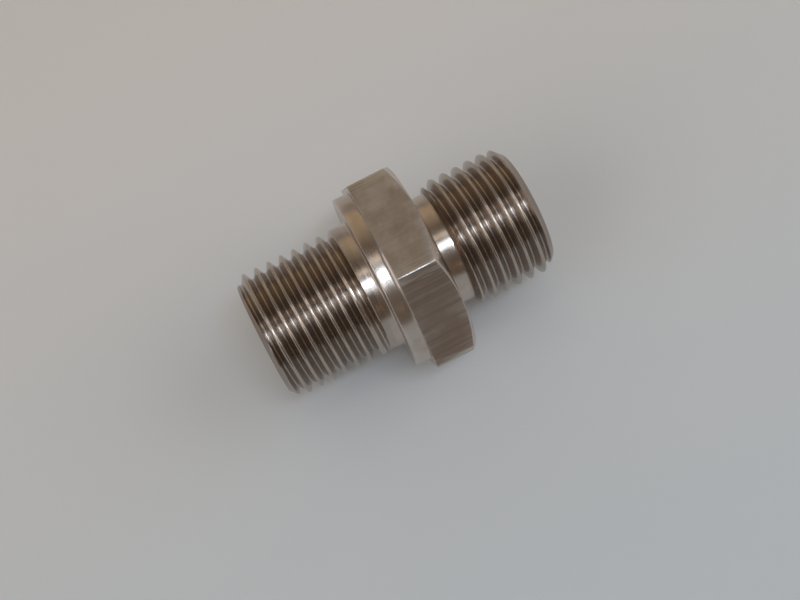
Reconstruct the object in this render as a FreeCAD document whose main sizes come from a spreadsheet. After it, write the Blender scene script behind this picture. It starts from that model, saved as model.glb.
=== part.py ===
"""Hex nipple, G1/4 male thread on both ends, hexagon 19 mm across flats.

The nipple is one piece of hexagon bar: a long stud with a short plain shank, a round sealing
collar, the hexagon, a relief neck and a shorter stud. A bore runs through it from end to end.

Frame: the bore's axis is X with the long stud at -X, and the origin is on that axis halfway
between the two ends. Two flats of the hexagon face +Z and -Z and two corners point along Y.
"""
import FreeCAD, Part
import os

import Sketcher

NODE = "nipple_body"

# Driving dimensions in millimetres, and the angles in degrees.
DIMENSIONS = {
    "thread_major_diameter": 13.157,
    "thread_pitch": 1.337,
    "flank_angle": 27.5,
    "long_stud_length": 12.0,
    "long_thread_length": 9.975,
    "long_thread_turns": 8,
    "collar_diameter": 18.0,
    "collar_thickness": 1.5,
    "hex_across_flats": 19.0,
    "hex_length": 4.7,
    "hex_face_diameter": 18.8,
    "hex_chamfer_angle": 30.0,
    "neck_diameter": 11.3,
    "neck_length": 1.85,
    "neck_ramp": 0.4,
    "short_stud_length": 10.5,
    "short_thread_start": 0.695,
    "short_thread_turns": 8,
    "stud_chamfer": 0.95,
    "edge_break": 0.12,
    "bore_diameter": 7.0,
    "bore_mouth_diameter": 8.0,
    "cone_mouth_diameter": 9.6,
    "cone_half_angle": 30.0,
}

# The Whitworth form as fractions of the pitch: groove depth, root radius, and how far the
# cutter's profile stands out of the crest.
DEPTH = "0.640327 * dims.thread_pitch"
ROUNDING = "0.137329 * dims.thread_pitch"
CLEARANCE = "0.08 * dims.thread_pitch"
# The run-out climbs out of the shank over this share of a turn.
RUN_OUT_TURNS = 0.5
BELOW_THE_AXIS = FreeCAD.Rotation(FreeCAD.Vector(1, 0, 0), 180)

# Places along the axis, measured from the long stud's end. The long thread's length is to the
# middle of its last full groove. The short thread's start is from the hexagon to its first one.
COLLAR_FACE = "dims.long_stud_length"
HEX_BACK = f"{COLLAR_FACE} + dims.collar_thickness"
HEX_FRONT = f"{HEX_BACK} + dims.hex_length"
TOTAL = f"{HEX_FRONT} + dims.short_stud_length"
LONG_THREAD_END = "dims.long_thread_length"
LONG_THREAD_START = f"{LONG_THREAD_END} - dims.long_thread_turns * dims.thread_pitch"
SHORT_THREAD_START = f"{HEX_FRONT} + dims.short_thread_start"
HEX_CORNER = "dims.hex_across_flats / sqrt(3)"

# Numbers that a sketch constraint uses for the ends of a line or arc, and for a circle's centre.
START, END, CENTRE = 1, 2, 3
ORIGIN = (-1, 1)
HORIZONTAL_AXIS, VERTICAL_AXIS = -1, -2


def make_sheet(document):
    """Put the driving dimensions in a spreadsheet, one aliased cell to a row."""
    sheet = document.addObject("Spreadsheet::Sheet", "dims")
    for row, (name, value) in enumerate(DIMENSIONS.items(), start=1):
        sheet.set(f"A{row}", name)
        sheet.set(f"B{row}", str(value))
        sheet.setAlias(f"B{row}", name)
    return sheet


def new_sketch(body, name, role):
    """Add a sketch on one of the body's own origin planes."""
    sketch = body.newObject("Sketcher::SketchObject", name)
    plane = next(feature for feature in body.Origin.OriginFeatures if feature.Role == role)
    sketch.AttachmentSupport = [(plane, "")]
    sketch.MapMode = "FlatFace"
    return sketch


def bind(sketch, kind, places, expression):
    """Add a driving constraint whose value is an expression over the sheet."""
    starting_value = 1.0
    index = sketch.addConstraint(Sketcher.Constraint(kind, *places, starting_value))
    sketch.setExpression(f"Constraints[{index}]", expression)


def half_section(sketch, corners):
    """Draw a closed outline whose corners are (along the axis, out from the axis) expressions.

    None stands for zero: the corner then lies on the sketch's own axis.
    """
    count = len(corners)
    rough = [FreeCAD.Vector(i, 1 if out else 0, 0) for i, (_, out) in enumerate(corners)]
    for i in range(count):
        sketch.addGeometry(Part.LineSegment(rough[i], rough[(i + 1) % count]))
    for i in range(count):
        sketch.addConstraint(Sketcher.Constraint("Coincident", i, END, (i + 1) % count, START))
    for i, (along, out) in enumerate(corners):
        if along:
            bind(sketch, "DistanceX", (*ORIGIN, i, START), along)
        else:
            sketch.addConstraint(Sketcher.Constraint("PointOnObject", i, START, VERTICAL_AXIS))
        if out:
            bind(sketch, "DistanceY", (*ORIGIN, i, START), out)
        else:
            sketch.addConstraint(Sketcher.Constraint("PointOnObject", i, START, HORIZONTAL_AXIS))


def hexagon(sketch):
    """Draw a regular hexagon about the sketch origin with two corners on the horizontal axis."""
    circle = sketch.addGeometry(Part.Circle(FreeCAD.Vector(), FreeCAD.Vector(0, 0, 1), 1), True)
    sketch.addConstraint(Sketcher.Constraint("Coincident", circle, CENTRE, *ORIGIN))
    bind(sketch, "Radius", (circle,), HEX_CORNER)
    turn = FreeCAD.Rotation(FreeCAD.Vector(0, 0, 1), 60)
    corner = FreeCAD.Vector(1, 0, 0)
    sides = []
    for _ in range(6):
        following = turn.multVec(corner)
        sides.append(sketch.addGeometry(Part.LineSegment(corner, following)))
        corner = following
    for side, following in zip(sides, sides[1:] + sides[:1]):
        sketch.addConstraint(Sketcher.Constraint("Coincident", side, END, following, START))
    for side in sides[1:]:
        sketch.addConstraint(Sketcher.Constraint("PointOnObject", side, START, circle))
        sketch.addConstraint(Sketcher.Constraint("Equal", sides[0], side))
    sketch.addConstraint(Sketcher.Constraint("PointOnObject", sides[0], START, HORIZONTAL_AXIS))
    bind(sketch, "DistanceX", (*ORIGIN, sides[0], START), HEX_CORNER)


def groove_section(sketch):
    """Draw the Whitworth groove: a rounded root, two flanks and a mouth just outside the crest."""
    crest = "dims.thread_major_diameter / 2"
    mouth_height = f"{crest} + {CLEARANCE}"
    mouth_width = (
        "dims.thread_pitch / 2"
        f" + 2 * ({DEPTH} / 2 + {CLEARANCE}) * tan(dims.flank_angle * 1 deg)"
    )
    left, right = FreeCAD.Vector(-0.6, 6.7, 0), FreeCAD.Vector(0.6, 6.7, 0)
    root_left, root_right = FreeCAD.Vector(-0.16, 5.8, 0), FreeCAD.Vector(0.16, 5.8, 0)
    mouth = sketch.addGeometry(Part.LineSegment(left, right))
    far_flank = sketch.addGeometry(Part.LineSegment(right, root_right))
    root = sketch.addGeometry(Part.Arc(root_left, FreeCAD.Vector(0, 5.7, 0), root_right))
    near_flank = sketch.addGeometry(Part.LineSegment(root_left, left))
    sketch.addConstraint([
        Sketcher.Constraint("Coincident", mouth, END, far_flank, START),
        Sketcher.Constraint("Coincident", near_flank, END, mouth, START),
        Sketcher.Constraint("Tangent", far_flank, END, root, END),
        Sketcher.Constraint("Tangent", near_flank, START, root, START),
        Sketcher.Constraint("Symmetric", mouth, START, mouth, END, VERTICAL_AXIS),
        Sketcher.Constraint("PointOnObject", root, CENTRE, VERTICAL_AXIS),
    ])
    bind(sketch, "DistanceX", (mouth, START, mouth, END), mouth_width)
    bind(sketch, "DistanceY", (*ORIGIN, mouth, START), mouth_height)
    bind(sketch, "DistanceY", (*ORIGIN, root, CENTRE), f"{crest} - {DEPTH} + {ROUNDING}")
    bind(sketch, "Radius", (root,), ROUNDING)


def hex_block(body):
    """Pad the hexagon between the collar and the short stud."""
    sketch = new_sketch(body, "hex_outline", "YZ_Plane")
    sketch.setExpression("AttachmentOffset.Base.z", HEX_BACK)
    hexagon(sketch)
    pad = body.newObject("PartDesign::Pad", "hex_block")
    pad.Profile = sketch
    pad.setExpression("Length", "dims.hex_length")


def hex_chamfer(body):
    """Turn the corners off the hexagon's front face. The collar side keeps its sharp corners."""
    clear_of_corner = f"{HEX_CORNER} + 1"
    drop = f"({clear_of_corner} - dims.hex_face_diameter / 2) * tan(dims.hex_chamfer_angle * 1 deg)"
    sketch = new_sketch(body, "hex_chamfer_section", "XZ_Plane")
    half_section(sketch, [
        (HEX_FRONT, "dims.hex_face_diameter / 2"),
        (HEX_FRONT, clear_of_corner),
        (f"{HEX_FRONT} - {drop}", clear_of_corner),
    ])
    groove = body.newObject("PartDesign::Groove", "hex_chamfer")
    groove.Profile = sketch
    groove.ReferenceAxis = (sketch, ["H_Axis"])
    groove.Angle = 360


def turned_profile(body):
    """Revolve everything that is round: both studs, the collar, the neck and the core."""
    crest = "dims.thread_major_diameter / 2"
    chamfered = f"{crest} - dims.stud_chamfer"
    collar = "dims.collar_diameter / 2"
    neck = "dims.neck_diameter / 2"
    neck_end = f"{HEX_FRONT} + dims.neck_length"
    sketch = new_sketch(body, "turned_section", "XZ_Plane")
    half_section(sketch, [
        (None, None),
        (None, chamfered),
        ("dims.stud_chamfer", crest),
        (COLLAR_FACE, crest),
        (COLLAR_FACE, f"{collar} - dims.edge_break"),
        (f"{COLLAR_FACE} + dims.edge_break", collar),
        (f"{HEX_BACK} + dims.hex_length / 2", collar),
        (f"{HEX_BACK} + dims.hex_length / 2", neck),
        (neck_end, neck),
        (f"{neck_end} + dims.neck_ramp", crest),
        (f"{TOTAL} - dims.stud_chamfer", crest),
        (TOTAL, chamfered),
        (TOTAL, None),
    ])
    revolution = body.newObject("PartDesign::Revolution", "turned_profile")
    revolution.Profile = sketch
    revolution.ReferenceAxis = (sketch, ["H_Axis"])
    revolution.Angle = 360


def through_bore(body):
    """Bore it through, with a chamfered mouth in the long stud and a cone seat in the short one."""
    bore = "dims.bore_diameter / 2"
    mouth = "dims.bore_mouth_diameter / 2"
    seat = "dims.cone_mouth_diameter / 2"
    seat_depth = f"({seat} - {bore}) / tan(dims.cone_half_angle * 1 deg)"
    sketch = new_sketch(body, "bore_section", "XZ_Plane")
    half_section(sketch, [
        (None, None),
        (None, mouth),
        (f"{mouth} - {bore}", bore),
        (f"{TOTAL} - {seat_depth}", bore),
        (TOTAL, seat),
        (TOTAL, None),
    ])
    groove = body.newObject("PartDesign::Groove", "through_bore")
    groove.Profile = sketch
    groove.ReferenceAxis = (sketch, ["H_Axis"])
    groove.Angle = 360


def cut_thread(body, name, start, turns, half_turn_on=False, growth=None):
    """Cut a right-hand groove from `start` for some turns.

    It starts above the axis, or half a turn on, below it. It climbs outwards by `growth` a turn.
    """
    sketch = new_sketch(body, f"{name}_section", "XZ_Plane")
    if half_turn_on:
        sketch.AttachmentOffset = FreeCAD.Placement(FreeCAD.Vector(), BELOW_THE_AXIS)
    sketch.setExpression("AttachmentOffset.Base.x", start)
    groove_section(sketch)
    body.Document.recompute()
    helix = body.newObject("PartDesign::SubtractiveHelix", name)
    helix.Profile = sketch
    helix.ReferenceAxis = (sketch, ["H_Axis"])
    helix.Mode = "height-turns-growth"
    helix.setExpression("Height", f"({turns}) * dims.thread_pitch")
    helix.setExpression("Turns", str(turns))
    if growth:
        helix.setExpression("Growth", growth)
    return helix


def make_nipple(document):
    body = document.addObject("PartDesign::Body", NODE)
    body.Label = NODE
    climb = f"({DEPTH} + {CLEARANCE}) / {RUN_OUT_TURNS}"
    hex_block(body)
    hex_chamfer(body)
    turned_profile(body)
    through_bore(body)
    cut_thread(body, "long_thread", LONG_THREAD_START, "dims.long_thread_turns")
    cut_thread(body, "long_run_out", LONG_THREAD_END, RUN_OUT_TURNS, growth=climb)
    cut_thread(body, "short_thread", SHORT_THREAD_START, "dims.short_thread_turns", half_turn_on=True)
    body.setExpression("Placement.Base.x", f"-({TOTAL}) / 2")
    return body


def check(document, bodies):
    """Stop with a message if any object failed or any sub-part isn't a valid single solid."""
    for thing in document.Objects:
        if "Invalid" in thing.State or "Error" in thing.State:
            raise RuntimeError(f"{thing.Label} failed: {thing.State}")
    for body in bodies:
        if body.Shape.isNull() or not body.Shape.isValid() or len(body.Shape.Solids) != 1:
            raise RuntimeError(f"{body.Label} isn't one valid solid")


def main():
    document = FreeCAD.newDocument("hex_nipple")
    make_sheet(document)
    body = make_nipple(document)
    document.recompute()
    check(document, [body])
    os.makedirs("parts", exist_ok=True)
    body.Shape.exportStep(f"parts/{body.Label}.step")
    print(f"{body.Label}: {body.Shape.Volume:.1f} mm3")


main()
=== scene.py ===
"""The look of the hex nipple: a finished mesh for its one piece, steel materials, light and camera.

Lengths are written in millimetres and turned into metres where a mesh or a place is made.
Angles about the bore's axis are in degrees from +Y towards +Z.
"""
import math

import bmesh
import bpy
from mathutils import Matrix, Vector


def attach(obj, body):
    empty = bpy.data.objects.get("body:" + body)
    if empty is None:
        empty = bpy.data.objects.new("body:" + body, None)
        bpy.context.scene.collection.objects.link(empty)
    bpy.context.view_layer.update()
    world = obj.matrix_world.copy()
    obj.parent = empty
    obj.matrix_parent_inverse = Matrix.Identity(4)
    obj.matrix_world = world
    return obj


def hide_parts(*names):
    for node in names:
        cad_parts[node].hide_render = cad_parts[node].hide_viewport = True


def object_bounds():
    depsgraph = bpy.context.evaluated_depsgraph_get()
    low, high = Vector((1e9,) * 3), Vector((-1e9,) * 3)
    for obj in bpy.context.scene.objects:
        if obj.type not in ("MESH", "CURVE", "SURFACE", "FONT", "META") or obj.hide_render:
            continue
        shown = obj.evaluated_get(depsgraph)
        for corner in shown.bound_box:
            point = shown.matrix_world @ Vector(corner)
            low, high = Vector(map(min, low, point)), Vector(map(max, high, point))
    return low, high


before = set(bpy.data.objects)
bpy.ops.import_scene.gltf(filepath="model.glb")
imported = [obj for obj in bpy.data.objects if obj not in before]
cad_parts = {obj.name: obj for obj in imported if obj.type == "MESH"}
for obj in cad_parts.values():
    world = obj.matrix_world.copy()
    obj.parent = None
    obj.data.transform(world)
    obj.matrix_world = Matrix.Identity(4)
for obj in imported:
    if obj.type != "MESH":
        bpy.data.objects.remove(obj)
cad_low, cad_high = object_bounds()

MM = 0.001

# ---------------------------------------------------------------- sizes, from the box of the parts in model.glb
LEFT_END = cad_low.x / MM
RIGHT_END = cad_high.x / MM
ACROSS_FLATS = (cad_high.z - cad_low.z) / MM

# ---------------------------------------------------------------- sizes the box doesn't give
CREST = 13.157 / 2
PITCH = 1.337
DEPTH = 0.640327 * PITCH
ROUNDING = 0.137329 * PITCH
FLANK = math.radians(27.5)
ROOT = CREST - DEPTH
STUD_CHAMFER = 0.95

LONG_STUD = 12.0
LONG_THREAD = 9.975
COLLAR_RADIUS = 9.0
COLLAR_THICKNESS = 1.5
HEX_LENGTH = 4.7
FACE_RADIUS = 9.4
FACE_CHAMFER = math.radians(30)
NECK_RADIUS = 5.65
NECK_LENGTH = 1.85
NECK_RAMP = 0.4
SHORT_THREAD_START = 0.695
BORE_RADIUS = 3.5
BORE_MOUTH_RADIUS = 4.0
CONE_MOUTH_RADIUS = 4.8
CONE_HALF_ANGLE = math.radians(30)

COLLAR_FACE = LEFT_END + LONG_STUD
HEX_BACK = COLLAR_FACE + COLLAR_THICKNESS
HEX_FRONT = HEX_BACK + HEX_LENGTH
NECK_END = HEX_FRONT + NECK_LENGTH

# Small radii and bevels that a turning tool or a deburring pass leaves.
EDGE_BREAK = 0.12
HEX_EDGE = 0.28
HEX_BACK_BEVEL = 0.08
BEVEL_MIDDLE = 0.3
HEX_FRONT_BEVEL = 0.04
HEX_FRONT_INSET = 1.2 * HEX_FRONT_BEVEL
SHANK_FILLET = 0.22
NECK_FILLET = 0.25
COLLAR_ROOT_LENGTH = 0.05
COLLAR_ROOT_HEIGHT = 0.04
FACE_BREAK = 0.05
SEAT_BREAK = 0.03
FINE_BREAK = 0.02

# The long thread's groove climbs to the crest over part of a turn, lifted a little past it, and
# its helical band of mesh goes on into the shank by the room given here.
RUN_OUT_TURNS = 0.5
RUN_OUT_LIFT = 1.1
RUN_OUT_ROOM = 0.95 * PITCH

# How wide the creases of a thread are rounded over, how far the short thread's band begins
# inside the neck, and how far inside the thread's root the left end's face stops.
CUT_BLEND = 0.03
CHAMFER_BLEND = 0.05
THREAD_UNDERLAP = 0.2
END_FACE_MARGIN = 0.18

# ---------------------------------------------------------------- the mesh's resolution
ANGLE_STEPS = 216
HEX_CORNER_EXTRA = (-1.1, -0.8, -0.4, 0.4, 0.8, 1.1)
ARC_SHARES = (0, 0.36, 0.7, 1)
FLANK_SHARES = (1 / 3, 2 / 3)
FLAT_SHARES = (0.25, 0.5, 0.75)
ARC_STEPS = 4
SHARP_ANGLE = math.radians(50)

# Vertices nearer to each other than this are joined into one.
WELD = 0.0004


def angles():
    """Evenly spaced angles, with a few more where the hexagon's corners are rounded."""
    found = {360 * i / ANGLE_STEPS for i in range(ANGLE_STEPS)}
    for corner in range(0, 360, 60):
        found.update((corner + extra) % 360 for extra in HEX_CORNER_EXTRA)
    return sorted(found)


ANGLES = angles()


def smooth_min(a, b, reach):
    """The smaller of two radii, with the crease between them rounded over `reach`."""
    overlap = max(reach - abs(a - b), 0) / reach
    return min(a, b) - overlap * overlap * reach / 4


# ---------------------------------------------------------------- thread form
def thread_radius(offset):
    """Radius of the Whitworth form at `offset` from the middle of its groove."""
    from_root = abs(offset)
    from_crest = PITCH / 2 - from_root
    arc = ROUNDING * math.cos(FLANK)
    if from_root <= arc:
        return ROOT + ROUNDING - math.sqrt(ROUNDING ** 2 - from_root ** 2)
    if from_crest <= arc:
        return CREST - ROUNDING + math.sqrt(ROUNDING ** 2 - from_crest ** 2)
    return ROOT + ROUNDING * (1 - math.sin(FLANK)) + (from_root - arc) / math.tan(FLANK)


def groove_stations():
    """Places across one pitch, from groove middle to groove middle, as shares of the pitch."""
    arc = ROUNDING * math.cos(FLANK)
    half = [arc * share for share in ARC_SHARES]
    straight = PITCH / 2 - 2 * arc
    half += [arc + straight * share for share in FLANK_SHARES]
    half += [PITCH / 2 - arc * share for share in reversed(ARC_SHARES)]
    mirrored = [PITCH - place for place in reversed(half[1:-1])]
    return [place / PITCH for place in half + mirrored]


STATIONS = groove_stations()


class Thread:
    """A helical band between two planes. Its mesh lines follow the helix."""

    def __init__(self, start, end, groove_place, groove_angle, radius):
        self.start = start
        self.end = end
        self.groove_place = groove_place
        self.groove_angle = groove_angle
        self.radius = radius
        first = math.floor((start - groove_place) / PITCH) - 2
        last = math.ceil((end - groove_place) / PITCH) + 2
        self.places = [turn + share for turn in range(first, last) for share in STATIONS]

    def rings(self):
        """How many mesh lines the band has."""
        return len(self.places)

    def point(self, ring, angle):
        """Place along the axis and radius of one vertex, held between the band's two planes."""
        turned = self.places[ring] + (angle - self.groove_angle) / 360
        along = min(max(self.groove_place + turned * PITCH, self.start), self.end)
        turns = (along - self.groove_place) / PITCH - (angle - self.groove_angle) / 360
        groove = round(turns)
        offset = (turns - groove) * PITCH
        climbed = groove + (angle - self.groove_angle) / 360
        return along, self.radius(along, offset, climbed)


def long_stud_radius(along, offset, climbed):
    """The long stud's thread, chamfered at its end and climbing out into the shank."""
    lift = max(climbed, 0) / RUN_OUT_TURNS * DEPTH * RUN_OUT_LIFT
    cut = thread_radius(offset) + lift
    cut = min(cut, CREST) if lift == 0 else smooth_min(cut, CREST, CUT_BLEND)
    chamfer = CREST - STUD_CHAMFER + (along - LEFT_END)
    return smooth_min(cut, chamfer, CHAMFER_BLEND)


def short_stud_radius(along, offset, _climbed):
    """The short stud's thread, rising out of the relief neck and chamfered at its end."""
    rise = NECK_RADIUS + max(along - NECK_END, 0) * (CREST - NECK_RADIUS) / NECK_RAMP
    chamfer = CREST - STUD_CHAMFER + (RIGHT_END - along)
    cut = smooth_min(thread_radius(offset), rise, CUT_BLEND)
    return smooth_min(cut, chamfer, CHAMFER_BLEND)


# ---------------------------------------------------------------- hexagon
def hex_radius(angle, inset=0.0):
    """Radius of the hexagon's rounded outline, moved in by `inset`."""
    flat = ACROSS_FLATS / 2 - inset
    from_corner = math.radians((angle + 30) % 60 - 30)
    centre = (flat - HEX_EDGE) / math.cos(math.radians(30))
    touch = math.atan2(HEX_EDGE / 2, centre + HEX_EDGE * math.cos(math.radians(30)))
    if abs(from_corner) < touch:
        across = centre * math.sin(from_corner)
        return centre * math.cos(from_corner) + math.sqrt(HEX_EDGE ** 2 - across ** 2)
    return flat / math.cos(math.radians(30) - abs(from_corner))


def chamfer_place(radius):
    """Where the front chamfer's cone has this radius."""
    return HEX_FRONT - (radius - FACE_RADIUS) * math.tan(FACE_CHAMFER)


def arc_rings(centre_along, centre_out, radius, begin, end):
    """Half-section points along an arc, between two angles in degrees."""
    rings = []
    for i in range(ARC_STEPS + 1):
        turn = math.radians(begin + (end - begin) * i / ARC_STEPS)
        along = centre_along + radius * math.cos(turn)
        rings.append((along, centre_out + radius * math.sin(turn)))
    return rings


def spread(begin, end, steps):
    """Evenly spaced half-section points after `begin`, up to and including `end`."""
    run, climb = end[0] - begin[0], end[1] - begin[1]
    return [
        (begin[0] + run * i / steps, begin[1] + climb * i / steps) for i in range(1, steps + 1)
    ]


# ---------------------------------------------------------------- building the mesh
THREAD, TURNED, FLAT = "thread_steel", "turned_steel", "drawn_steel"
SURFACES = (THREAD, TURNED, FLAT)


class Skin:
    """A closed skin made ring by ring, along the outside and back through the bore."""

    def __init__(self):
        self.mesh = bmesh.new()
        self.first = None
        self.last = None

    def vertices(self, point):
        """Make a ring of vertices, one to an angle, at the (along, out) that `point` gives."""
        ring = []
        for angle in ANGLES:
            along, out = point(angle)
            turn = math.radians(angle)
            place = Vector((along, out * math.cos(turn), out * math.sin(turn)))
            ring.append(self.mesh.verts.new(place * MM))
        return ring

    def add_ring(self, point, surface):
        """Add a ring of vertices and the band that joins it to the last one."""
        ring = self.vertices(point)
        if self.last:
            self.bridge(self.last, ring, surface)
        self.first = self.first or ring
        self.last = ring

    def bridge(self, before, after, surface):
        """Join two rings with quads."""
        count = len(before)
        for i in range(count):
            j = (i + 1) % count
            face = self.mesh.faces.new((before[i], before[j], after[j], after[i]))
            face.material_index = SURFACES.index(surface)

    def add_round(self, section, surface):
        """Add circular rings for the (along, out) points of a half-section."""
        for along, out in section:
            self.add_ring(lambda angle: (along, out), surface)

    def add_thread(self, thread):
        """Add a helical band. After a full turn a ring runs on into the one a pitch further on."""
        rings = [
            self.vertices(lambda angle: thread.point(ring, angle)) for ring in range(thread.rings())
        ]
        self.bridge(self.last, rings[0], TURNED)
        per_pitch = len(STATIONS)
        top = len(rings) - 1
        for low in range(top):
            for i in range(len(ANGLES)):
                wraps = i == len(ANGLES) - 1
                step = per_pitch if wraps else 0
                j = 0 if wraps else i + 1
                corners = [
                    rings[low][i],
                    rings[min(low + step, top)][j],
                    rings[min(low + 1 + step, top)][j],
                    rings[low + 1][i],
                ]
                if len(set(corners)) > 2:
                    unique = list(dict.fromkeys(corners))
                    face = self.mesh.faces.new(unique)
                    face.material_index = SURFACES.index(THREAD)
        self.last = rings[top]

    def close(self):
        """Join the last ring to the first, weld what lies together and drop what has no area."""
        self.bridge(self.last, self.first, TURNED)
        bmesh.ops.remove_doubles(self.mesh, verts=self.mesh.verts, dist=WELD * MM)
        bmesh.ops.dissolve_degenerate(self.mesh, edges=self.mesh.edges, dist=WELD * MM)
        bmesh.ops.recalc_face_normals(self.mesh, faces=self.mesh.faces)


def add_long_stud(skin, mouth):
    """The left end face, the long stud's thread and shank, and the fillet at the collar."""
    skin.add_round([mouth, (LEFT_END + FINE_BREAK, BORE_MOUTH_RADIUS - FINE_BREAK)], TURNED)
    skin.add_round([(LEFT_END, BORE_MOUTH_RADIUS + FINE_BREAK)], TURNED)
    face = (LEFT_END, ROOT - END_FACE_MARGIN)
    skin.add_round(spread((LEFT_END, BORE_MOUTH_RADIUS), face, 3), TURNED)
    groove = LEFT_END + LONG_THREAD
    skin.add_thread(Thread(LEFT_END, groove + RUN_OUT_ROOM, groove, 90, long_stud_radius))
    centre = (COLLAR_FACE - SHANK_FILLET, CREST + SHANK_FILLET)
    fillet = arc_rings(*centre, SHANK_FILLET, 270, 360)
    skin.add_round(fillet, TURNED)
    return fillet[-1]


def add_collar(skin, begin):
    """The collar's sealing face, its broken rim and its round side."""
    corner = (COLLAR_FACE + EDGE_BREAK, COLLAR_RADIUS - EDGE_BREAK)
    skin.add_round(spread(begin, (COLLAR_FACE, corner[1]), 3)[:-1], TURNED)
    skin.add_round(arc_rings(*corner, EDGE_BREAK, 180, 90), TURNED)
    side_end = (HEX_BACK - COLLAR_ROOT_LENGTH, COLLAR_RADIUS)
    skin.add_round(spread((corner[0], COLLAR_RADIUS), side_end, 3), TURNED)
    skin.add_round([(HEX_BACK, COLLAR_RADIUS + COLLAR_ROOT_HEIGHT)], TURNED)


def add_hexagon(skin):
    """The hexagon's back edge, its flats and its chamfered front."""
    middle = BEVEL_MIDDLE * HEX_BACK_BEVEL
    edge = ((0, HEX_BACK_BEVEL, TURNED), (middle, middle, FLAT), (HEX_BACK_BEVEL, 0, FLAT))
    for along, inset, surface in edge:
        skin.add_ring(lambda angle: (HEX_BACK + along, hex_radius(angle, inset)), surface)
    for share in FLAT_SHARES:
        skin.add_ring(
            lambda angle: (
                HEX_BACK + share * (chamfer_place(hex_radius(angle)) - HEX_BACK),
                hex_radius(angle),
            ),
            FLAT,
        )
    skin.add_ring(
        lambda angle: (chamfer_place(hex_radius(angle)) - HEX_FRONT_BEVEL, hex_radius(angle)), FLAT
    )
    inset = HEX_FRONT_INSET
    skin.add_ring(
        lambda angle: (chamfer_place(hex_radius(angle, inset)), hex_radius(angle, inset)), TURNED
    )
    skin.add_round([(HEX_FRONT - FINE_BREAK, FACE_RADIUS + FINE_BREAK)], TURNED)
    skin.add_round([(HEX_FRONT, FACE_RADIUS - FACE_BREAK)], TURNED)


def add_short_stud(skin):
    """The hexagon's face, the relief neck and the short stud's thread."""
    centre = (HEX_FRONT + NECK_FILLET, NECK_RADIUS + NECK_FILLET)
    fillet = arc_rings(*centre, NECK_FILLET, 180, 270)
    skin.add_round(spread((HEX_FRONT, FACE_RADIUS), fillet[0], 4), TURNED)
    skin.add_round(fillet[1:], TURNED)
    begin = NECK_END - THREAD_UNDERLAP
    groove = HEX_FRONT + SHORT_THREAD_START
    skin.add_thread(Thread(begin, RIGHT_END, groove, 270, short_stud_radius))


def add_bore(skin, mouth):
    """The cone seat in the right end and the bore back to its left mouth."""
    seat_depth = (CONE_MOUTH_RADIUS - BORE_RADIUS) / math.tan(CONE_HALF_ANGLE)
    seat = (RIGHT_END - seat_depth, BORE_RADIUS)
    skin.add_round([(RIGHT_END, CONE_MOUTH_RADIUS + SEAT_BREAK)], TURNED)
    skin.add_round(spread((RIGHT_END, CONE_MOUTH_RADIUS), seat, 5), TURNED)
    skin.add_round(spread(seat, mouth, 12)[:-1], TURNED)


def nipple_mesh():
    """The whole nipple as one closed skin."""
    skin = Skin()
    mouth = (LEFT_END + BORE_MOUTH_RADIUS - BORE_RADIUS, BORE_RADIUS)
    add_collar(skin, add_long_stud(skin, mouth))
    add_hexagon(skin)
    add_short_stud(skin)
    add_bore(skin, mouth)
    skin.close()
    return skin.mesh


def closeness(value, target, reach):
    """One at the target, falling to nothing at `reach` from it."""
    return max(0.0, 1 - abs(value - target) / reach)


# ---------------------------------------------------------------- wear, oil, scale and painted shade
# Scale left on each flat of the bar, from the flat at 30 degrees on. It is also painted light and
# shade: the top flat at 90 degrees has none and is painted lighter, the flat at 150 degrees that
# faces the front has the most and is painted darker, and the other flats get an uneven share.
FLAT_SCALE_AND_SHADE = (0.8, 0.0, 1.0, 0.6, 0.3, 0.75)

# How far from an edge its wear reaches, and how much of it the hexagon's round edges get.
CORNER_WEAR = 8.0
HEX_EDGE_WEAR = 0.16
COLLAR_EDGE_WEAR = 0.14
CREST_WEAR = 0.07
ROUND_EDGE_SHARE = 0.4

# How far inside its surface a vertex may lie and still count as part of it.
HAIR = 0.01
ROOT_SLACK = 0.1
SURFACE_SLACK = 0.2


def mark_wear_and_shade(mesh):
    """Store how deep in a groove, how near a rubbed edge and how scaled each vertex is.

    The groove value stands for oil in the thread grooves and in the bore, and is also painted
    shade in these hollows. The scale value on the flats is real scale, and also painted shade on
    the front flat and painted light on the top flat.
    """
    # How deep a vertex lies in a thread groove or the bore: oil there, and painted shade in these
    # hollows.
    groove = mesh.attributes.new("groove", "FLOAT", "POINT")
    edge = mesh.attributes.new("edge", "FLOAT", "POINT")
    # How much scale each flat has: also painted shade on the front flat and painted light on the
    # top flat.
    scale = mesh.attributes.new("scale", "FLOAT", "POINT")
    for vertex in mesh.vertices:
        along, y, z = (part / MM for part in vertex.co)
        out = math.hypot(y, z)
        # The whole bore counts as deep: oil and painted shade inside it.
        if out < BORE_RADIUS + HAIR:
            groove.data[vertex.index].value = 1
        threaded = LEFT_END < along < LEFT_END + LONG_THREAD or along > NECK_END
        # In the thread, deeper means darker: oil and painted shade in the roots.
        if threaded and ROOT - ROOT_SLACK < out <= CREST + HAIR:
            groove.data[vertex.index].value = (CREST - out) / DEPTH
            edge.data[vertex.index].value = closeness(out, CREST, CREST_WEAR)
        elif HEX_BACK <= along <= HEX_FRONT and out > FACE_RADIUS - SURFACE_SLACK:
            angle = math.degrees(math.atan2(z, y)) % 360
            # Scale by flat: painted shade on the front flat, a painted lighter top flat.
            scale.data[vertex.index].value = FLAT_SCALE_AND_SHADE[int(angle / 60)]
            corner = closeness((angle + 30) % 60 - 30, 0, CORNER_WEAR)
            back = closeness(along, HEX_BACK, HEX_EDGE_WEAR)
            rim = closeness(along, chamfer_place(out), HEX_EDGE_WEAR)
            edge.data[vertex.index].value = max(corner, ROUND_EDGE_SHARE * max(back, rim))
        elif along < HEX_BACK and out > COLLAR_RADIUS - SURFACE_SLACK:
            middle = COLLAR_FACE + EDGE_BREAK / 2
            edge.data[vertex.index].value = closeness(along, middle, COLLAR_EDGE_WEAR)


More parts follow.
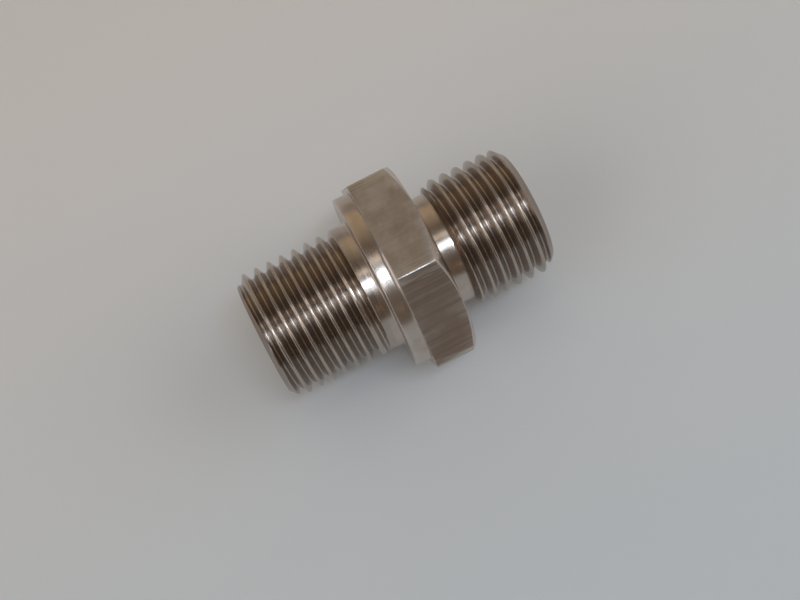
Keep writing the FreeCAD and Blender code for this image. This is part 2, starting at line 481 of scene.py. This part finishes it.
def make_nipple():
    """Turn the skin into the piece that stands for the CAD node."""
    mesh = bpy.data.meshes.new("nipple_skin")
    skin = nipple_mesh()
    skin.to_mesh(mesh)
    skin.free()
    mark_wear_and_shade(mesh)
    mesh.polygons.foreach_set("use_smooth", [True] * len(mesh.polygons))
    mesh.set_sharp_from_angle(angle=SHARP_ANGLE)
    piece = bpy.data.objects.new("nipple_finish", mesh)
    bpy.context.scene.collection.objects.link(piece)
    for surface in SURFACES:
        mesh.materials.append(MATERIALS[surface]())
    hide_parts("nipple_body")
    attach(piece, "root")


# ---------------------------------------------------------------- materials
class Nodes:
    """A small helper that adds nodes to one material or world and links them."""

    def __init__(self, owner, shader="Principled BSDF"):
        self.owner = owner
        owner.use_nodes = True
        self.tree = owner.node_tree
        self.shader = self.tree.nodes[shader]

    def add(self, kind, settings=None, **inputs):
        """Add a node, set its properties, and set or link its inputs by name."""
        node = self.tree.nodes.new(f"ShaderNode{kind}")
        for key, value in (settings or {}).items():
            setattr(node, key, value)
        for key, value in inputs.items():
            self.put(node.inputs[key.replace("_", " ")], value)
        return node

    def put(self, socket, value):
        """Link a node's output to a socket, or set the socket's own value."""
        if isinstance(value, bpy.types.NodeSocket):
            self.tree.links.new(value, socket)
        else:
            socket.default_value = value

    def math(self, operation, first, second=0.0):
        """A math node on one or two values."""
        node = self.tree.nodes.new("ShaderNodeMath")
        node.operation = operation
        self.put(node.inputs[0], first)
        self.put(node.inputs[1], second)
        return node.outputs[0]

    def mix(self, share, first, second):
        """A colour between two colours."""
        node = self.tree.nodes.new("ShaderNodeMix")
        node.data_type = "RGBA"
        self.put(node.inputs["Factor"], share)
        self.put(node.inputs["A"], first)
        self.put(node.inputs["B"], second)
        return node.outputs["Result"]

    def stretch(self, value, low, high, begin=0.0, end=1.0):
        """A value between begin and end moved to the range from low to high, and held there."""
        node = self.add(
            "MapRange", Value=value, From_Min=begin, From_Max=end, To_Min=low, To_Max=high
        )
        return node.outputs["Result"]

    def noise(self, place, scale, detail=2.0, roughness=0.5):
        """Noise in space, from 0 to 1."""
        node = self.add("TexNoise", Vector=place, Scale=scale, Detail=detail, Roughness=roughness)
        return node.outputs["Fac"]

    def attribute(self, name):
        """A value stored on the mesh."""
        return self.add("Attribute", {"attribute_name": name}).outputs["Fac"]


def object_place(nodes, stretch_by=(1, 1, 1)):
    """Object coordinates in millimetres, stretched along the axes."""
    place = nodes.add("TexCoord").outputs["Object"]
    mapping = nodes.add("Mapping", Vector=place)
    mapping.inputs["Scale"].default_value = [share / MM for share in stretch_by]
    return mapping.outputs["Vector"]


def rings_place(nodes, around):
    """Place along the bore's axis, turn about it and distance from it, for marks that run round.

    The first and last are in millimetres, and `around` weighs the turn.
    """
    separate = nodes.add("SeparateXYZ", Vector=object_place(nodes))
    x, y, z = (separate.outputs[part] for part in "XYZ")
    turn = nodes.math("MULTIPLY", nodes.math("ARCTAN2", z, y), around)
    squares = (nodes.math("MULTIPLY", part, part) for part in (y, z))
    out = nodes.math("SQRT", nodes.math("ADD", *squares))
    return nodes.add("CombineXYZ", X=x, Y=turn, Z=out).outputs["Vector"]


# Steel colours. CLEAN is turned steel, BARE the drawn bar and WORKED the cut thread, and the
# others lie over them in patches, in grooves and along edges. The groove colour is oil and also
# painted shade in the hollows, and the dark scale colour is also painted shade on the front flat.
CLEAN = (0.57, 0.49, 0.43, 1)
STAINED = (0.46, 0.38, 0.31, 1)
BARE = (0.645, 0.605, 0.57, 1)
# Dark brown scale, also the painted shade of the front flat.
SCALE_SHADE_TONE = (0.29, 0.205, 0.155, 1)
SCALED_PATCH = (0.42, 0.355, 0.305, 1)
RUBBED = (0.74, 0.69, 0.64, 1)
WORKED = (0.48, 0.425, 0.38, 1)
# Oil in the grooves and the bore, and painted shade in these hollows.
OIL_AND_SHADE = (0.37, 0.315, 0.275, 1)


def steel(nodes, tone, roughness, height, depth_mm):
    """Finish a steel: its colour, its roughness and the marks that a height map raises."""
    shader = nodes.shader
    shader.inputs["Metallic"].default_value = 1.0
    nodes.put(shader.inputs["Base Color"], tone)
    nodes.put(shader.inputs["Roughness"], roughness)
    bump = nodes.add("Bump", Height=height, Distance=depth_mm * MM, Strength=1.0)
    nodes.put(shader.inputs["Normal"], bump.outputs["Normal"])
    return nodes.owner


def stains(nodes, scale):
    """Soft patches from 0 to 1."""
    cloud = nodes.noise(object_place(nodes), scale, detail=4.0, roughness=0.6)
    return nodes.stretch(cloud, 0, 1, begin=0.42, end=0.68)


def turned_steel():
    """Bright turned steel with fine tool rings."""
    nodes = Nodes(bpy.data.materials.new("turned_steel"))
    rings = nodes.noise(rings_place(nodes, 0.5), 9.0, detail=3.0, roughness=0.7)
    patches = stains(nodes, 0.35)
    groove = nodes.attribute("groove")
    speckle = nodes.noise(object_place(nodes), 1.5)
    rubbed = nodes.math("MULTIPLY", nodes.attribute("edge"), speckle)
    # The groove value darkens the bore: oil, and painted shade inside it.
    tone = nodes.mix(groove, nodes.mix(patches, CLEAN, STAINED), OIL_AND_SHADE)
    tone = nodes.mix(rubbed, tone, RUBBED)
    dulled = nodes.math("MULTIPLY", groove, 0.2)
    roughness = nodes.math("ADD", nodes.stretch(rings, 0.14, 0.32), dulled)
    return steel(nodes, tone, roughness, rings, depth_mm=0.004)


def thread_steel():
    """Cut thread: rubbed crests, flanks with fine tool rings, and roots darkened by oil and by
    painted shade.
    """
    nodes = Nodes(bpy.data.materials.new("thread_steel"))
    rings = nodes.noise(rings_place(nodes, 0.8), 8.0, detail=4.0, roughness=0.65)
    # Darker the deeper in the groove: oil in the roots and painted shade in them.
    uneven = nodes.math("MULTIPLY", nodes.attribute("groove"), nodes.stretch(rings, 0.6, 1.3))
    oil_and_shade = nodes.stretch(uneven, 0.1, 1, begin=0.1, end=0.8)
    tone = nodes.mix(stains(nodes, 0.4), WORKED, STAINED)
    tone = nodes.mix(oil_and_shade, tone, OIL_AND_SHADE)
    speckle = nodes.noise(object_place(nodes), 1.2, detail=3.0)
    rubbed = nodes.math("MULTIPLY", nodes.attribute("edge"), speckle)
    tone = nodes.mix(nodes.math("MULTIPLY", rubbed, 0.3), tone, CLEAN)
    roughness = nodes.stretch(rings, 0.13, 0.29, begin=0.25, end=0.75)
    return steel(nodes, tone, roughness, rings, depth_mm=0.004)


def drawn_steel():
    """Hexagon flats as the bar was drawn: dull, with streaks along the bar and worn corners, and
    scale that is also painted shade on the front flat and a painted lighter top flat.
    """
    nodes = Nodes(bpy.data.materials.new("drawn_steel"))
    streaks = nodes.noise(object_place(nodes, (0.06, 1, 1)), 1.6, detail=5.0, roughness=0.7)
    lines = nodes.noise(object_place(nodes, (0.04, 1, 1)), 5.0, detail=3.0, roughness=0.6)
    pits = nodes.noise(object_place(nodes), 14.0)
    tone = nodes.mix(nodes.stretch(streaks, 0, 0.38, begin=0.4, end=0.62), BARE, STAINED)
    tone = nodes.mix(stains(nodes, 0.3), tone, SCALED_PATCH)
    cover = nodes.stretch(streaks, 0.7, 0.95, begin=0.4, end=0.6)
    # Scale by flat, streaky: also painted shade on the front flat and a painted lighter top flat.
    tone = nodes.mix(nodes.math("MULTIPLY", nodes.attribute("scale"), cover), tone, SCALE_SHADE_TONE)
    scratches = nodes.stretch(lines, -0.5, 0.25, begin=0.38, end=0.62)
    worn = nodes.math("ADD", nodes.attribute("edge"), scratches)
    tone = nodes.mix(nodes.stretch(worn, 0, 0.75, begin=0.4, end=1.1), tone, RUBBED)
    roughness = nodes.stretch(pits, 0.30, 0.42, begin=0.3, end=0.7)
    shares = (nodes.math("MULTIPLY", lines, 0.7), nodes.math("MULTIPLY", pits, 0.3))
    return steel(nodes, tone, roughness, nodes.math("ADD", *shares), depth_mm=0.007)


MATERIALS = {THREAD: thread_steel, TURNED: turned_steel, FLAT: drawn_steel}


def floor_material():
    """A pale, matt table top with painted light: warmer and brighter at the back, cooler at the
    front.
    """
    nodes = Nodes(bpy.data.materials.new("pale_floor"))
    place = nodes.add("SeparateXYZ", Vector=object_place(nodes))
    # Painted light: the tint runs from cool at the front to warm and brighter at the back.
    back = nodes.stretch(place.outputs["Y"], 0, 1, -PAINTED_LIGHT_DRIFT, PAINTED_LIGHT_DRIFT)
    nodes.put(nodes.shader.inputs["Base Color"], nodes.mix(back, FRONT_FLOOR_PAINTED_COOL, BACK_FLOOR_PAINTED_WARM))
    nodes.shader.inputs["Roughness"].default_value = 0.7
    return nodes.owner


# ---------------------------------------------------------------- floor, light and camera
FLOOR_FLAT = 450
COVE_RADIUS = 600
COVE_TURN = 52
COVE_STEPS = 10
FLOOR_STEPS = 96
# Painted light on the table top: cool at the front, warmer and brighter at the back, over this many
# millimetres either side of the middle.
PAINTED_LIGHT_DRIFT = 45
FRONT_FLOOR_PAINTED_COOL = (0.64, 0.69, 0.72, 1)
BACK_FLOOR_PAINTED_WARM = (0.785, 0.745, 0.705, 1)

DARK_ROOM = (0.15, 0.12, 0.095, 1)
BEIGE_WALL = (0.52, 0.42, 0.30, 1)
PALE_SIDE = (0.32, 0.31, 0.30, 1)

# Name: turn about X from +Y, place along X, distance, (length, width), radiance and colour.
SOFTBOXES = {
    "window": (112, 60, 600, (280, 84), 10.0, (0.70, 0.84, 1.0)),
    "second_pane": (122, -40, 600, (170, 100), 2.2, (0.78, 0.88, 1.0)),
    "ceiling": (92, 30, 600, (330, 95), 1.1, (1.0, 0.94, 0.85)),
    "lamp": (158, 68, 600, (28, 45), 1.4, (1.0, 0.68, 0.45)),
    "left_side": (112, -950, 900, (900, 1000), 1.0, (0.97, 0.97, 1.0)),
    "right_side": (108, 950, 900, (900, 1000), 1.0, (1.0, 0.97, 0.94)),
}

AIM = (-0.85, -2.3, -1.2)
CAMERA_AZIMUTH = -7.8
CAMERA_ELEVATION = 64.5
CAMERA_ROLL = 20.1
CAMERA_DISTANCE = 126.6
CAMERA_LENS = 58.4
SENSOR_WIDTH = 36


def make_floor():
    """A pale table top under the hexagon's lower flat, swept up far away except at the front."""
    rim = [
        (FLOOR_FLAT + COVE_RADIUS * math.sin(turn), COVE_RADIUS * (1 - math.cos(turn)))
        for turn in (math.radians(COVE_TURN * i / COVE_STEPS) for i in range(COVE_STEPS + 1))
    ]
    turns = [2 * math.pi * i / FLOOR_STEPS for i in range(FLOOR_STEPS)]
    builder = bmesh.new()
    level = Vector((0, 0, cad_low.z))
    middle = builder.verts.new(level)
    rings = []
    for out, up in rim:
        ring = []
        for turn in turns:
            lift = up * min(1, 1 + math.sin(turn))
            place = Vector((out * math.cos(turn), out * math.sin(turn), lift))
            ring.append(builder.verts.new(place * MM + level))
        rings.append(ring)
    for i in range(FLOOR_STEPS):
        j = (i + 1) % FLOOR_STEPS
        builder.faces.new((middle, rings[0][i], rings[0][j]))
        for inner, outer in zip(rings, rings[1:]):
            builder.faces.new((inner[i], outer[i], outer[j], inner[j]))
    mesh = bpy.data.meshes.new("floor")
    builder.to_mesh(mesh)
    builder.free()
    mesh.polygons.foreach_set("use_smooth", [True] * len(mesh.polygons))
    mesh.materials.append(floor_material())
    floor = bpy.data.objects.new("floor", mesh)
    bpy.context.scene.collection.objects.link(floor)


def aimed(place, aim, lean):
    """A matrix for an object at `place` with its -Z axis towards `aim`, leaning to its right."""
    forward = (aim - place).normalized()
    right = forward.cross(Vector((0, 0, 1))).normalized()
    up = right.cross(forward)
    turn = math.radians(lean)
    top = up * math.cos(turn) + right * math.sin(turn)
    side = forward.cross(top)
    matrix = Matrix((side, top, -forward)).transposed().to_4x4()
    matrix.translation = place
    return matrix


def softbox(name, turn, along, distance, size, radiance, colour):
    """A rectangular light at an angle about the X axis, moved along X, facing the origin."""
    angle = math.radians(turn)
    place = Vector((along, distance * math.cos(angle), distance * math.sin(angle))) * MM
    light = bpy.data.lights.new(name, "AREA")
    light.shape = "RECTANGLE"
    light.size, light.size_y = (side * MM for side in size)
    light.energy = radiance * math.pi * light.size * light.size_y
    light.color = colour
    holder = bpy.data.objects.new(name, light)
    bpy.context.scene.collection.objects.link(holder)
    back = place.normalized()
    side = Vector((1, 0, 0))
    side = (side - back * side.dot(back)).normalized()
    matrix = Matrix((side, back.cross(side), back)).transposed().to_4x4()
    matrix.translation = place
    holder.matrix_world = matrix


def make_room():
    """The room: pale to both sides, a beige wall behind, and dark where the viewer stands."""
    nodes = Nodes(bpy.data.worlds.new("room"), "Background")
    toward = nodes.add("SeparateXYZ", Vector=nodes.add("TexCoord").outputs["Generated"])
    wall = nodes.stretch(toward.outputs["Y"], 0, 1, begin=0.30, end=0.85)
    outward = nodes.math("ABSOLUTE", toward.outputs["X"])
    side = nodes.stretch(outward, 0, 1, begin=0.40, end=0.80)
    tone = nodes.mix(side, nodes.mix(wall, DARK_ROOM, BEIGE_WALL), PALE_SIDE)
    nodes.put(nodes.shader.inputs["Color"], tone)
    bpy.context.scene.world = nodes.owner


def light_the_set():
    """A window's two panes beyond the camera, a ceiling patch, a small lamp and two soft sides."""
    for name, light in SOFTBOXES.items():
        softbox(name, *light)


def make_camera():
    """The camera, above the table and to the front, turned about its own axis."""
    azimuth, elevation = math.radians(CAMERA_AZIMUTH), math.radians(CAMERA_ELEVATION)
    back = Vector(
        (
            math.sin(azimuth) * math.cos(elevation),
            -math.cos(azimuth) * math.cos(elevation),
            math.sin(elevation),
        )
    )
    aim = Vector(AIM) * MM
    camera = bpy.data.cameras.new("camera")
    camera.lens = CAMERA_LENS
    camera.sensor_width = SENSOR_WIDTH
    camera.clip_start = 5 * MM
    camera.clip_end = 10
    holder = bpy.data.objects.new("camera", camera)
    bpy.context.scene.collection.objects.link(holder)
    holder.matrix_world = aimed(aim + back * CAMERA_DISTANCE * MM, aim, CAMERA_ROLL)
    bpy.context.scene.camera = holder


make_nipple()
make_floor()
make_room()
light_the_set()
make_camera()
bpy.context.scene.view_settings.view_transform = "Standard"
